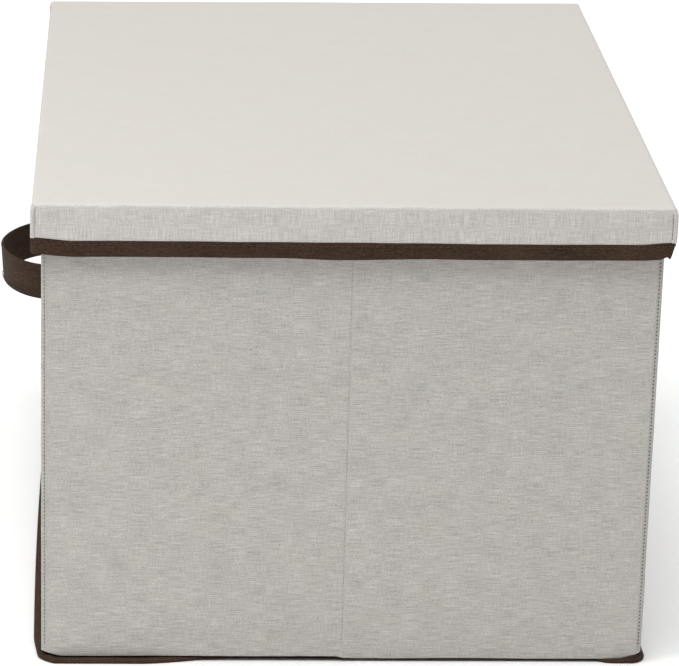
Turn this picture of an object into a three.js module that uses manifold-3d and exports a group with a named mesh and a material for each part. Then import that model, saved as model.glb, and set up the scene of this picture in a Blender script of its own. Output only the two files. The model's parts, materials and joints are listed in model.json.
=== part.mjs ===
// A lidded fabric storage bin that folds flat. Millimetres, +Z up, +Y towards the back.
// The origin is at the middle of the footprint, on the surface that the bin stands on.
//
// Four walls of cloth over board stand on a cloth base. The two short end walls each have a
// stitched fold line down the middle, so that with the lid off they fold inwards and the right
// wall comes across to the left one. The lid is a shallow cap that lifts straight off.

import * as THREE from 'three';
import { mergeVertices } from 'three/addons/utils/BufferGeometryUtils.js';
import Module from 'manifold-3d';

const wasm = await Module();
wasm.setup();

// Driving dimensions of the body.
const BODY_WIDTH = 400;         // over the left and right walls' outer faces
const BODY_DEPTH = 530;         // over the front and back walls' outer faces
const TOTAL_HEIGHT = 320;       // floor to the top of the lid
const GAP = 0.3;                // clearance between pieces that lie against each other

// Layers of every wall, from the outside in.
const COVER = 0.8;              // linen-look cloth
const BOARD = 2.5;              // cardboard stiffener
const LINING = 0.6;             // plain inner cloth
const PANEL = COVER + GAP + BOARD + GAP + LINING;
const RIM_HEIGHT = 8.2;         // bound strip along the top of each wall
const FOLD_LINE_GAP = 0.5;      // between the two leaves of an end wall
const CORNER_GAP = 0.5;         // between an end wall's inner face and a side wall's end

// The base: a cloth floor whose edge is sewn into a bound seam that stands out all round.
const SEAM_PROUD = 6;           // how far the bound seam stands out from the walls
const SEAM_HEIGHT = 5;
const SEAM_LEG = 1.3;           // thickness of the seam's lower leg
const SEAM_UNDERLAP = 8;        // how far the lower leg reaches in under the walls
const SEAM_RADIUS = 14;         // of the seam's outer corners in plan
const BASE_CLOTH = 0.8;
const BASE_CLOTH_EDGE = 4;      // how far the base cloth reaches out into the seam

// The loose bottom board and the cloth that covers it.
const BOTTOM_BOARD = 1.9;
const BOTTOM_INSET = 1.3;       // from the walls' inner faces to the covered board
const WALL_CLEARANCE = 0.6;     // lets the folding walls pass above the bottom board

// The lid.
const LID_HEIGHT = 34.6;        // top to the lower edge of the skirt
const LID_CLEARANCE = 2.6;      // between the walls' outer faces and the skirt's lining
const LID_SEAT = 0.5;           // between the walls' rims and the lid's lining
const SKIRT_BOARD = 2.2;
const HEM_HEIGHT = 10.4;        // bound hem along the skirt's lower edge
const HEM_PROUD = 0.3;

// The two carrying straps, one in the middle of each long side.
const STRAP_WIDTH = 25;         // its height as it stands out from the wall
const STRAP_THICKNESS = 1.8;
const STRAP_MIDDLE = 193;       // height of its centre line
const STRAP_SPAN = 104;         // between the places where its two ends meet the wall
const STRAP_PROUD = 35;         // wall to the middle of its thickness at the crown
const STRAP_ROUNDNESS = 2.4;    // exponent of the superellipse that it follows
const STRAP_STEPS = 40;
const STRAP_AXIS = 2.5;         // distance of the swing axis from the wall's outer face
const STRAP_SWING = 50;         // degrees that it swings up from level
const STRAP_WALL_CLEARANCE = 0.5;
const TAB_LENGTH = 30;          // sewn end of the strap, flat on the wall
const TAB_THICKNESS = 1.2;

// Places worked out from the driving dimensions.
const HALF_WIDTH = BODY_WIDTH / 2;
const HALF_DEPTH = BODY_DEPTH / 2;
const BASE_CLOTH_TOP = SEAM_LEG + GAP + BASE_CLOTH;
const BOTTOM_BOARD_TOP = BASE_CLOTH_TOP + GAP + BOTTOM_BOARD;
const BOTTOM_COVER_TOP = BOTTOM_BOARD_TOP + GAP + LINING;
const WALL_BASE = BOTTOM_COVER_TOP + WALL_CLEARANCE;
const LID_UNDERSIDE = TOTAL_HEIGHT - PANEL;
const WALL_TOP = LID_UNDERSIDE - LID_SEAT;
const RIM_BASE = WALL_TOP - RIM_HEIGHT;
const LID_BASE = TOTAL_HEIGHT - LID_HEIGHT;
const HEM_TOP = LID_BASE + HEM_HEIGHT;

// Colours and finishes.
const LINEN = { color: 0xcbc6bf, roughness: 0.9, metalness: 0 };
const BROWN = { color: 0x45352c, roughness: 0.8, metalness: 0 };
const CARDBOARD = { color: 0xa98a62, roughness: 0.95, metalness: 0 };
const LINING_CLOTH = { color: 0xc4bdb2, roughness: 0.9, metalness: 0 };

function mesh(name, geometry, finish) {
  const made = new THREE.Mesh(geometry, new THREE.MeshStandardMaterial(finish));
  made.name = name;
  return made;
}

// A box between two corners.
function block(x0, x1, y0, y1, z0, z1) {
  const made = new THREE.BoxGeometry(x1 - x0, y1 - y0, z1 - z0);
  return made.translate((x0 + x1) / 2, (y0 + y1) / 2, (z0 + z1) / 2);
}

// A box centred on the Z axis, given by its half sizes in plan.
function slab(halfX, halfY, z0, z1) {
  return block(-halfX, halfX, -halfY, halfY, z0, z1);
}

// The same with rounded corners in plan.
function roundedSlab(halfX, halfY, radius, z0, z1) {
  const outline = new THREE.Shape();
  outline.moveTo(halfX, -halfY + radius);
  outline.absarc(halfX - radius, halfY - radius, radius, 0, Math.PI / 2);
  outline.absarc(-halfX + radius, halfY - radius, radius, Math.PI / 2, Math.PI);
  outline.absarc(-halfX + radius, -halfY + radius, radius, Math.PI, Math.PI * 1.5);
  outline.absarc(halfX - radius, -halfY + radius, radius, Math.PI * 1.5, Math.PI * 2);
  const options = { depth: z1 - z0, bevelEnabled: false, curveSegments: 8 };
  return new THREE.ExtrudeGeometry(outline, options).translate(0, 0, z0);
}

function toSolid(geometry) {
  const bare = geometry.clone();
  bare.deleteAttribute('normal');
  bare.deleteAttribute('uv');
  const merged = mergeVertices(bare, 1e-4);
  return new wasm.Manifold(new wasm.Mesh({
    numProp: 3,
    vertProperties: merged.attributes.position.array,
    triVerts: new Uint32Array(merged.index.array),
  }));
}

function toGeometry(solid) {
  const result = solid.getMesh();
  const made = new THREE.BufferGeometry();
  made.setAttribute('position', new THREE.BufferAttribute(result.vertProperties, 3));
  made.setIndex(new THREE.BufferAttribute(result.triVerts, 1));
  return made;
}

// The first geometry with all the others cut out of it.
function cut(base, ...tools) {
  let solid = toSolid(base);
  for (const tool of tools) {
    solid = solid.subtract(toSolid(tool));
  }
  return toGeometry(solid);
}

// One stiff panel of a wall. In its group's frame X runs along the wall, the outer face is at
// y = 0 and the panel goes back to y = PANEL.
function panelCover(name, x0, x1) {
  const body = block(x0, x1, 0, PANEL - LINING - GAP, WALL_BASE, RIM_BASE - GAP);
  const pocket = block(x0 + COVER, x1 - COVER, COVER, PANEL, WALL_BASE + COVER, WALL_TOP);
  return mesh(`${name}_cover`, cut(body, pocket), LINEN);
}

function panelBoard(name, x0, x1) {
  const edge = COVER + GAP;
  const body = block(x0 + edge, x1 - edge, edge, edge + BOARD, WALL_BASE + edge, WALL_TOP - edge);
  return mesh(`${name}_board`, body, CARDBOARD);
}

function panelLining(name, x0, x1) {
  const body = block(x0, x1, PANEL - LINING, PANEL, WALL_BASE, RIM_BASE - GAP);
  return mesh(`${name}_lining`, body, LINING_CLOTH);
}

// The bound strip over the panel's top edge: a channel that the board stands up into.
function panelRim(name, x0, x1) {
  const body = block(x0, x1, 0, PANEL, RIM_BASE, WALL_TOP);
  const slot = block(x0 + COVER, x1 - COVER, COVER, PANEL - LINING, WALL_BASE, WALL_TOP - COVER);
  return mesh(`${name}_rim`, cut(body, slot), BROWN);
}

function addPanel(group, name, x0, x1) {
  group.add(panelCover(name, x0, x1));
  group.add(panelBoard(name, x0, x1));
  group.add(panelLining(name, x0, x1));
  group.add(panelRim(name, x0, x1));
}

// A long wall in one panel. turn is +1 on the right and -1 on the left.
function sideWall(name, turn) {
  const group = new THREE.Group();
  group.position.x = turn * HALF_WIDTH;
  group.rotation.z = turn * Math.PI / 2;
  const half = HALF_DEPTH - PANEL - CORNER_GAP;
  addPanel(group, name, -half, half);
  return group;
}

// A short wall in two leaves, split at the fold line.
function endWall(names, y, turn) {
  const group = new THREE.Group();
  group.position.y = y;
  group.rotation.z = turn;
  addPanel(group, names[0], -HALF_WIDTH, -FOLD_LINE_GAP / 2);
  addPanel(group, names[1], FOLD_LINE_GAP / 2, HALF_WIDTH);
  return group;
}

function baseCloth() {
  const halfX = HALF_WIDTH + BASE_CLOTH_EDGE;
  const halfY = HALF_DEPTH + BASE_CLOTH_EDGE;
  const radius = SEAM_RADIUS - (SEAM_PROUD - BASE_CLOTH_EDGE);
  const bottom = BASE_CLOTH_TOP - BASE_CLOTH;
  return mesh('base_cloth', roundedSlab(halfX, halfY, radius, bottom, BASE_CLOTH_TOP), LINEN);
}

// The bound seam: a ring round the base, slotted for the edge of the base cloth. Its lower leg
// runs in under the walls, and the bin stands on it.
function baseBinding() {
  const grown = (by, radius, z0, z1) =>
    roundedSlab(HALF_WIDTH + by, HALF_DEPTH + by, radius, z0, z1);
  const slotTop = BASE_CLOTH_TOP + GAP;
  const slotEdge = BASE_CLOTH_EDGE + GAP;
  const outside = grown(SEAM_PROUD, SEAM_RADIUS, 0, SEAM_HEIGHT);
  const aroundWalls = grown(CORNER_GAP, SEAM_RADIUS - SEAM_PROUD, slotTop, SEAM_HEIGHT + 1);
  const slot = grown(slotEdge, SEAM_RADIUS - SEAM_PROUD + slotEdge, SEAM_LEG, slotTop + GAP / 2);
  const underside = grown(-SEAM_UNDERLAP, 2, -1, SEAM_LEG + GAP / 2);
  return mesh('base_binding', cut(outside, aroundWalls, slot, underside), BROWN);
}

function bottomBoard() {
  const halfX = HALF_WIDTH - PANEL - BOTTOM_INSET - LINING - GAP;
  const halfY = HALF_DEPTH - PANEL - BOTTOM_INSET - LINING - GAP;
  const body = slab(halfX, halfY, BOTTOM_BOARD_TOP - BOTTOM_BOARD, BOTTOM_BOARD_TOP);
  return mesh('bottom_board', body, CARDBOARD);
}

// Cloth over the top and edges of the bottom board.
function bottomBoardCover() {
  const halfX = HALF_WIDTH - PANEL - BOTTOM_INSET;
  const halfY = HALF_DEPTH - PANEL - BOTTOM_INSET;
  const lower = BASE_CLOTH_TOP + GAP;
  const body = slab(halfX, halfY, lower, BOTTOM_COVER_TOP);
  const pocket = slab(halfX - LINING, halfY - LINING, 0, BOTTOM_BOARD_TOP + GAP);
  return mesh('bottom_board_cover', cut(body, pocket), LINING_CLOTH);
}

// Half sizes of the lid's layers, counted outwards from the walls' outer faces.
const SKIRT_LINING_IN = LID_CLEARANCE;
const SKIRT_LINING_OUT = SKIRT_LINING_IN + LINING;
const SKIRT_BOARD_IN = SKIRT_LINING_OUT + GAP;
const SKIRT_BOARD_OUT = SKIRT_BOARD_IN + SKIRT_BOARD;
const SKIRT_COVER_IN = SKIRT_BOARD_OUT + GAP;
const SKIRT_COVER_OUT = SKIRT_COVER_IN + COVER;

// A block over the whole lid, its sides a given distance out from the walls.
function lidSlab(out, z0, z1) {
  return slab(HALF_WIDTH + out, HALF_DEPTH + out, z0, z1);
}

function lidCover() {
  const outside = lidSlab(SKIRT_COVER_OUT, HEM_TOP + GAP, TOTAL_HEIGHT);
  const hollow = lidSlab(SKIRT_COVER_IN, LID_BASE, TOTAL_HEIGHT - COVER);
  return mesh('lid_cover', cut(outside, hollow), LINEN);
}

function lidLining() {
  const outside = lidSlab(SKIRT_LINING_OUT, HEM_TOP + GAP, LID_UNDERSIDE + LINING);
  const hollow = lidSlab(SKIRT_LINING_IN, LID_BASE, LID_UNDERSIDE);
  return mesh('lid_lining', cut(outside, hollow), LINING_CLOTH);
}

function lidTopBoard() {
  const top = TOTAL_HEIGHT - COVER - GAP;
  return mesh('lid_top_board', lidSlab(SKIRT_BOARD_OUT, top - BOARD, top), CARDBOARD);
}

function addSkirtBoards(group) {
  const z0 = LID_BASE + COVER + GAP;
  const z1 = LID_UNDERSIDE + LINING;
  const xIn = HALF_WIDTH + SKIRT_BOARD_IN;
  const xOut = HALF_WIDTH + SKIRT_BOARD_OUT;
  const yIn = HALF_DEPTH + SKIRT_BOARD_IN;
  const yOut = HALF_DEPTH + SKIRT_BOARD_OUT;
  const across = xIn - GAP;
  group.add(mesh('lid_left_board', block(-xOut, -xIn, -yOut, yOut, z0, z1), CARDBOARD));
  group.add(mesh('lid_right_board', block(xIn, xOut, -yOut, yOut, z0, z1), CARDBOARD));
  group.add(mesh('lid_front_board', block(-across, across, -yOut, -yIn, z0, z1), CARDBOARD));
  group.add(mesh('lid_back_board', block(-across, across, yIn, yOut, z0, z1), CARDBOARD));
}

// The bound hem: a channel round the skirt's lower edge that the skirt boards stand in.
function lidHem() {
  const outside = lidSlab(SKIRT_COVER_OUT + HEM_PROUD, LID_BASE, HEM_TOP);
  const middle = lidSlab(SKIRT_LINING_IN, LID_BASE - 1, HEM_TOP + 1);
  const slotFloor = LID_BASE + COVER;
  const slot = cut(
    lidSlab(SKIRT_COVER_IN, slotFloor, HEM_TOP + 1),
    lidSlab(SKIRT_LINING_OUT, slotFloor - 1, HEM_TOP + 2),
  );
  return mesh('lid_hem', cut(outside, middle, slot), BROWN);
}

function makeLid() {
  const group = new THREE.Group();
  group.add(lidCover());
  group.add(lidTopBoard());
  addSkirtBoards(group);
  group.add(lidLining());
  group.add(lidHem());
  return group;
}

// A superellipse from one end of the strap to the other, in plan: x outwards from the wall and
// y along it. Its ends leave the wall squarely.
function strapCurve(proud, halfSpan) {
  const points = [];
  const power = 2 / STRAP_ROUNDNESS;
  for (let i = 0; i <= STRAP_STEPS; i += 1) {
    const t = Math.PI * i / STRAP_STEPS;
    const along = Math.sign(Math.cos(t)) * Math.abs(Math.cos(t)) ** power;
    points.push(new THREE.Vector2(proud * Math.sin(t) ** power, halfSpan * along));
  }
  return points;
}

// The loop of the strap. Each end narrows towards the swing axis, as far as the swing needs for
// the loop's corners to stay off the wall.
function strapLoop(name) {
  const half = STRAP_THICKNESS / 2;
  const outer = strapCurve(STRAP_PROUD + half, STRAP_SPAN / 2 + half);
  const inner = strapCurve(STRAP_PROUD - half, STRAP_SPAN / 2 - half);
  const outline = new THREE.Shape([...outer, ...inner.reverse()]);
  const options = { depth: STRAP_WIDTH, bevelEnabled: false };
  const band = new THREE.ExtrudeGeometry(outline, options);
  band.translate(0, 0, STRAP_MIDDLE - STRAP_WIDTH / 2);

  const swing = THREE.MathUtils.degToRad(STRAP_SWING);
  const start = TAB_THICKNESS + GAP + STRAP_WALL_CLEARANCE;
  const room = STRAP_AXIS - start;
  const long = STRAP_SPAN + 20;
  const atWall = block(-50, start, -long, long, 0, TOTAL_HEIGHT);
  const corner = (side) => {
    const wedge = new THREE.Shape();
    const reach = STRAP_WIDTH;
    wedge.moveTo(STRAP_AXIS - reach, side * (room / Math.sin(swing) - reach / Math.tan(swing)));
    wedge.lineTo(STRAP_AXIS + reach, side * (room / Math.sin(swing) + reach / Math.tan(swing)));
    wedge.lineTo(STRAP_AXIS - reach, side * 2 * reach);
    const tool = new THREE.ExtrudeGeometry(wedge, { depth: 2 * long, bevelEnabled: false });
    return tool.rotateX(Math.PI / 2).translate(0, long, STRAP_MIDDLE);
  };
  return mesh(name, cut(band, atWall, corner(1), corner(-1)), BROWN);
}

// The sewn end of the strap, flat on the wall and reaching away from the loop.
function strapTab(name, side) {
  const low = STRAP_MIDDLE - STRAP_WIDTH / 2;
  const near = STRAP_SPAN / 2 - STRAP_THICKNESS / 2;
  const body = block(GAP, GAP + TAB_THICKNESS, near, near + TAB_LENGTH, low, low + STRAP_WIDTH);
  if (side < 0) {
    body.rotateX(Math.PI);
    body.translate(0, 0, 2 * STRAP_MIDDLE);
  }
  return mesh(name, body, BROWN);
}

function addHandle(group, side) {
  const handle = new THREE.Group();
  handle.position.x = side === 'left' ? -HALF_WIDTH : HALF_WIDTH;
  handle.rotation.z = side === 'left' ? Math.PI : 0;
  const towardsFront = side === 'left' ? 1 : -1;
  handle.add(strapLoop(`${side}_handle_strap`));
  handle.add(strapTab(`${side}_handle_front_tab`, towardsFront));
  handle.add(strapTab(`${side}_handle_back_tab`, -towardsFront));
  group.add(handle);
}

const bin = new THREE.Group();
bin.add(baseCloth());
bin.add(baseBinding());
bin.add(bottomBoard());
bin.add(bottomBoardCover());
bin.add(sideWall('left', -1));
bin.add(sideWall('right', 1));
bin.add(endWall(['front_left', 'front_right'], -HALF_DEPTH, 0));
bin.add(endWall(['back_right', 'back_left'], HALF_DEPTH, Math.PI));
addHandle(bin, 'left');
addHandle(bin, 'right');
bin.add(makeLid());

export default bin;
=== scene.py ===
import json
import math

import bmesh
import bpy
import numpy as np
from mathutils import Matrix, Vector

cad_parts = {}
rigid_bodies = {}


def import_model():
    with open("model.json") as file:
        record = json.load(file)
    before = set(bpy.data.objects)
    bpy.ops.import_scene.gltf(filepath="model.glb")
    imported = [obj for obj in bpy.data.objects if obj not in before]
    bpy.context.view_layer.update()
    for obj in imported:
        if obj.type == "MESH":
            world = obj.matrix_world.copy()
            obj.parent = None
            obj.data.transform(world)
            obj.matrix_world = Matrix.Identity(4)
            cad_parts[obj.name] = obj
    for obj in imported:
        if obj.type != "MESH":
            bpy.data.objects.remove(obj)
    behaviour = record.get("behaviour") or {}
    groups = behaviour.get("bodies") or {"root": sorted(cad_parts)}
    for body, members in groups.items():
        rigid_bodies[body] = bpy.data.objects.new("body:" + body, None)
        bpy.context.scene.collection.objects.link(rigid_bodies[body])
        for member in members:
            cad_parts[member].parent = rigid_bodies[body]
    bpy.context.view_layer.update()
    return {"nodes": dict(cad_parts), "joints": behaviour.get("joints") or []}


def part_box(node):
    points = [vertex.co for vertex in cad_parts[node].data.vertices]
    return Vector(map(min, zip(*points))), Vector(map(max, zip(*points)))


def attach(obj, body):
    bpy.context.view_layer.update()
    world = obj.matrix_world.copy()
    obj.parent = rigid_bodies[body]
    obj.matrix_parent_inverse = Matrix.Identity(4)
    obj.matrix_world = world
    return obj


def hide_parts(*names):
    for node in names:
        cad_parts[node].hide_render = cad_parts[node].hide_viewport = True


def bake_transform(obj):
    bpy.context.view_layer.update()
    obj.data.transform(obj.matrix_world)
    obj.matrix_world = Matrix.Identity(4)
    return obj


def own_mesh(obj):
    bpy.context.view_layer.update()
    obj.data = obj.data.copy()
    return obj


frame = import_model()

# A lidded fabric storage bin. Lengths are in millimetres in the frame of the CAD model, and are
# scaled to metres where a mesh is made. +Y is towards the back, so the front is at -Y.

MM = 0.001


def extent(node):
    """Lowest and highest corners of a CAD node, in millimetres."""
    low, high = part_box(node)
    return np.array(low) / MM, np.array(high) / MM


def heights(node):
    """The lowest and highest Z of a CAD node."""
    return [corner[2] for corner in extent(node)]


# Places taken from the frame.
HALF_WIDTH = extent("right_cover")[1][0]
HALF_DEPTH = extent("back_left_cover")[1][1]
WALL_BASE, COVER_TOP = heights("left_cover")
RIM_BASE, RIM_TOP = heights("left_rim")
PANEL = HALF_WIDTH - extent("right_lining")[0][0]
SIDE_HALF = extent("right_cover")[1][1]
LID_X, LID_Y, LID_TOP = extent("lid_cover")[1]
HEM_LOW, HEM_HIGH = heights("lid_hem")
HEM_X, HEM_Y = extent("lid_hem")[1][:2]

CLOTH = 0.7             # thickness of the outer cloth
LINING = 0.6            # thickness of the inner cloth
THIN_CLOTH = 0.5        # thickness of the cloth on ridges and the bottom board
RIM_TAPE = 0.64         # thickness of the rims' binding tape


# ---- camera
CAMERA_PLACE = (-0.1402, -2.3901, 0.9694)
CAMERA_LENS = 185.0
CAMERA_YAW = math.radians(-3.559)       # turned to the right of straight ahead
CAMERA_PITCH = math.radians(19.09)      # below level
CAMERA_ROLL = math.radians(1.645)


def add_to_scene(name, data):
    made = bpy.data.objects.new(name, data)
    bpy.context.scene.collection.objects.link(made)
    return made


def make_camera():
    data = bpy.data.cameras.new("camera")
    data.lens = CAMERA_LENS
    data.sensor_width = 36
    data.clip_start = 0.05
    data.clip_end = 100
    camera = add_to_scene("camera", data)
    turn = Matrix.Rotation(CAMERA_YAW, 4, "Z")
    down = Matrix.Rotation(math.pi / 2 - CAMERA_PITCH, 4, "X")
    roll = Matrix.Rotation(CAMERA_ROLL, 4, "Z")
    camera.matrix_world = Matrix.Translation(CAMERA_PLACE) @ turn @ down @ roll
    bpy.context.scene.camera = camera


make_camera()


# ---- materials
def operator(name, swapped=False):
    """A method that gives the result of one operation on a value and any others."""
    def method(self, *others):
        values = (*others, self) if swapped else (self, *others)
        return self.finish.calculate(name, *values)
    return method


class Value:
    """The output of a shader node, for use in plain arithmetic."""

    def __init__(self, finish, socket):
        self.finish = finish
        self.socket = socket

    __add__ = operator("ADD")
    __radd__ = operator("ADD", swapped=True)
    __sub__ = operator("SUBTRACT")
    __rsub__ = operator("SUBTRACT", swapped=True)
    __mul__ = operator("MULTIPLY")
    __truediv__ = operator("DIVIDE")
    at_least = operator("MAXIMUM")
    at_most = operator("MINIMUM")
    below = operator("LESS_THAN")       # 1 where it is less than the other value, and 0 elsewhere
    sine = operator("SINE")

    def around(self, swing):
        """Noise, which is centred on a half, as a change of about plus or minus half a swing."""
        return (self - 0.5) * swing


class Finish:
    """A material under construction. u and v follow the cloth's threads, in millimetres."""

    def __init__(self, name, on_cloth=True):
        self.material = bpy.data.materials.new(name)
        self.material.use_nodes = True
        self.tree = self.material.node_tree
        self.shader = next(n for n in self.tree.nodes if n.type == "BSDF_PRINCIPLED")
        if on_cloth:
            source = self.node("ShaderNodeUVMap")
            source.uv_map = "weave"
            self.u, self.v = self.split(source.outputs[0])[:2]

    def node(self, kind, **inputs):
        """A new node, with some of its inputs set."""
        return self.fill(self.tree.nodes.new(kind), **inputs)

    def fill(self, node, **inputs):
        """Sets a node's inputs by name, with underscores for the spaces in a name."""
        for name, value in inputs.items():
            self.put(node.inputs[name.replace("_", " ")], value)
        return node

    def put(self, socket, value):
        """Sets an input, or links it if the value comes from another node."""
        if isinstance(value, Value):
            self.tree.links.new(value.socket, socket)
        else:
            socket.default_value = value

    def calculate(self, operation, *values):
        node = self.node("ShaderNodeMath")
        node.operation = operation
        for socket, value in zip(node.inputs, values):
            self.put(socket, value)
        return Value(self, node.outputs[0])

    def split(self, output):
        """The three coordinates of a vector output."""
        node = self.node("ShaderNodeSeparateXYZ")
        self.tree.links.new(output, node.inputs[0])
        return [Value(self, socket) for socket in node.outputs]

    def place(self, per_u, per_v, seed=0.0):
        """A place in a pattern whose features are about per_u by per_v millimetres."""
        node = self.node("ShaderNodeCombineXYZ")
        for socket, value in zip(node.inputs, (self.u * (1 / per_u), self.v * (1 / per_v), seed)):
            self.put(socket, value)
        return Value(self, node.outputs[0])

    def noise(self, per_u, per_v, seed=0.0, detail=2.0, roughness=0.5):
        place = self.place(per_u, per_v, seed)
        node = self.node("ShaderNodeTexNoise", Scale=1.0, Detail=detail, Roughness=roughness, Vector=place)
        return Value(self, node.outputs[0])

    def flecks(self, cell_u, cell_v, share, size):
        """Scattered spots, 1 inside and 0 outside, in a share of the cells."""
        node = self.node("ShaderNodeTexVoronoi", Scale=1.0, Vector=self.place(cell_u, cell_v))
        node.voronoi_dimensions = "2D"
        split = self.node("ShaderNodeSeparateColor")
        self.tree.links.new(node.outputs["Color"], split.inputs[0])
        chance, spread = (Value(self, socket) for socket in split.outputs[:2])
        spot = Value(self, node.outputs["Distance"]) / (spread * size)
        return (1.4 - spot).at_least(0.0).at_most(1.0) * chance.below(share)

    def weave(self, pitch):
        """Height of a plain weave: threads that go over and under each other."""
        across = (self.u * (math.pi / pitch)).sine()
        along = (self.v * (math.pi / pitch)).sine()
        return across * along * 0.5 + 0.5

    def mixed(self, share, first, second):
        """The first colour where share is 0 and the second where it is 1."""
        node = self.node("ShaderNodeMix")
        node.data_type = "RGBA"
        node.clamp_factor = True
        self.put(node.inputs["Factor"], share)
        for name, value in (("A", first), ("B", second)):
            socket = next(s for s in node.inputs if s.name == name and s.type == "RGBA")
            self.put(socket, (*value, 1) if isinstance(value, tuple) else value)
        return Value(self, next(s for s in node.outputs if s.type == "RGBA"))

    def scaled(self, colour, factor):
        node = self.node("ShaderNodeVectorMath")
        node.operation = "SCALE"
        self.fill(node, Vector=colour, Scale=factor)
        return Value(self, node.outputs[0])

    def done(self, colour, roughness, height, depth, strength, specular, sheen=0.0):
        """Sets the shader's inputs. The bump is depth millimetres deep."""
        bump = self.node("ShaderNodeBump", Strength=strength, Distance=depth * MM, Height=height)
        self.fill(self.shader, Normal=Value(self, bump.outputs[0]), Base_Color=colour, Roughness=roughness,
                  Specular_IOR_Level=specular, Sheen_Weight=sheen, Sheen_Roughness=0.5)
        return self.material


def linen(name, cool, warm, slubs, columns, patchy, fleck_depth):
    """Linen-look cloth: fine uneven threads, thick slubs, a few dark flecks and faint patches."""
    cloth = Finish(name)
    streaks = cloth.noise(13.0, 0.55, seed=1.0, detail=3.0, roughness=0.72)
    threads = cloth.noise(0.6, 12.0, seed=4.0, detail=3.0, roughness=0.7)
    grain = cloth.noise(1.3, 0.5, seed=9.0, detail=1.0)
    patches = cloth.noise(24.0, 15.0, seed=7.0, detail=2.0)
    tone = cloth.noise(40.0, 30.0, seed=12.0, detail=1.5)
    shade = (
        1.0 + streaks.around(slubs) + threads.around(columns)
        + grain.around(0.5 * slubs) + patches.around(patchy)
    )
    base = cloth.scaled(cloth.mixed(tone, cool, warm), shade)
    spots = cloth.flecks(24.0, 17.0, share=0.6, size=0.032) * fleck_depth
    colour = cloth.mixed(spots, base, (0.16, 0.10, 0.06))
    rough = 0.86 + streaks.around(0.25)
    height = cloth.weave(0.8) * 0.35 + streaks * 0.9 + threads * 0.7
    return cloth.done(colour, rough, height, 0.30, 0.45, specular=0.25, sheen=0.12)


def binding_tape(name, colour, worn):
    """Dark woven tape: close ribs across it, fuzz, and paler threads where it is rubbed."""
    tape = Finish(name)
    ribs = (tape.u * (2 * math.pi / 1.1)).sine()
    fuzz = tape.noise(1.8, 0.9, seed=2.0, detail=3.0, roughness=0.75)
    rubbed = tape.noise(7.0, 1.4, seed=5.0, detail=2.5, roughness=0.6)
    patches = tape.noise(30.0, 12.0, seed=8.0, detail=1.5)
    shade = 1.0 + fuzz.around(3.4) + patches.around(1.0) + ribs * 0.05
    wear = rubbed.around(2.6).at_least(0.0)
    mixed = tape.mixed(wear, tape.scaled(colour, shade), worn)
    rough = 0.82 + fuzz.around(0.3)
    height = ribs * 0.25 + fuzz * 1.0
    return tape.done(mixed, rough, height, 0.25, 0.5, specular=0.12, sheen=0.03)


def lining_cloth(name, colour):
    """Plain bonded inner cloth with a fine pressed grain."""
    cloth = Finish(name)
    fibres = cloth.noise(2.2, 1.2, seed=3.0, detail=4.0, roughness=0.65)
    patches = cloth.noise(45.0, 45.0, seed=6.0, detail=2.0)
    shade = 1.0 + fibres.around(0.18) + patches.around(0.12)
    height = cloth.weave(1.0) + fibres * 0.8
    rough = 0.88 + fibres.around(0.2)
    return cloth.done(cloth.scaled(colour, shade), rough, height, 0.2, 0.4, specular=0.2)


def cardboard(name, colour):
    """Grey-brown board with fibres, on meshes that have no cloth coordinates."""
    board = Finish(name, on_cloth=False)
    x, y, z = board.split(board.node("ShaderNodeTexCoord").outputs["Object"])
    board.u = (x + y) * (1 / MM)
    board.v = (z + y * 0.7) * (1 / MM)
    fibres = board.noise(5.0, 1.4, seed=2.5, detail=5.0, roughness=0.7)
    patches = board.noise(60.0, 40.0, seed=5.5)
    shade = 1.0 + fibres.around(0.5) + patches.around(0.2)
    rough = 0.9 + fibres.around(0.2)
    return board.done(board.scaled(colour, shade), rough, fibres, 0.2, 0.3, specular=0.2)


def sewing_thread(name, colour):
    """Two-ply thread: a slanting twist in colour and bump."""
    thread = Finish(name)
    twist = (thread.u * (2 * math.pi / 0.6) + thread.v * 3.0).sine()
    fuzz = thread.noise(0.3, 0.3, seed=1.5)
    shade = 0.95 + twist * 0.1 + fuzz.around(0.3)
    rough = 0.7 + fuzz.around(0.2)
    return thread.done(thread.scaled(colour, shade), rough, twist, 0.06, 0.5, specular=0.3)


# The wall linen below is painted darker than the lid's two linens, about 0.87 as bright. This is painted
# shade on the walls, which are less lit than the lid; the lid's linens carry the lit tone.
SHADED_LINEN = linen(
    "linen", cool=(0.484, 0.470, 0.447), warm=(0.500, 0.474, 0.437),
    slubs=1.48, columns=0.50, patchy=0.20, fleck_depth=0.45,
)
LINEN_LID = linen(
    "linen_lid", cool=(0.556, 0.540, 0.518), warm=(0.576, 0.546, 0.509),
    slubs=0.95, columns=0.95, patchy=0.16, fleck_depth=0.35,
)
LINEN_TOP = linen(
    "linen_top", cool=(0.562, 0.541, 0.508), warm=(0.572, 0.543, 0.501),
    slubs=0.14, columns=0.14, patchy=0.05, fleck_depth=0.0,
)
# This linen goes on the right-hand corner ridges and is painted darker again: painted shade on the bin's
# right side, away from the light.
LINEN_EDGE_SHADED = linen(
    "linen_edge_painted_shade", cool=(0.420, 0.409, 0.390), warm=(0.433, 0.412, 0.382),
    slubs=0.90, columns=0.40, patchy=0.10, fleck_depth=0.2,
)
BROWN = binding_tape("brown_tape", (0.046, 0.0260, 0.0165), worn=(0.085, 0.055, 0.038))
INNER = lining_cloth("inner_cloth", (0.500, 0.465, 0.410))
BOARD = cardboard("board", (0.400, 0.270, 0.150))
PALE_THREAD = sewing_thread("pale_thread", (0.485, 0.466, 0.435))
DARK_THREAD = sewing_thread("dark_thread", (0.060, 0.038, 0.028))
# The seam thread below is a dark line of close-set stitches down each lid corner: the painted shadow of the
# corner fold.
SEAM_SHADOW_THREAD = sewing_thread("seam_shadow_line", (0.120, 0.105, 0.090))
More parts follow.
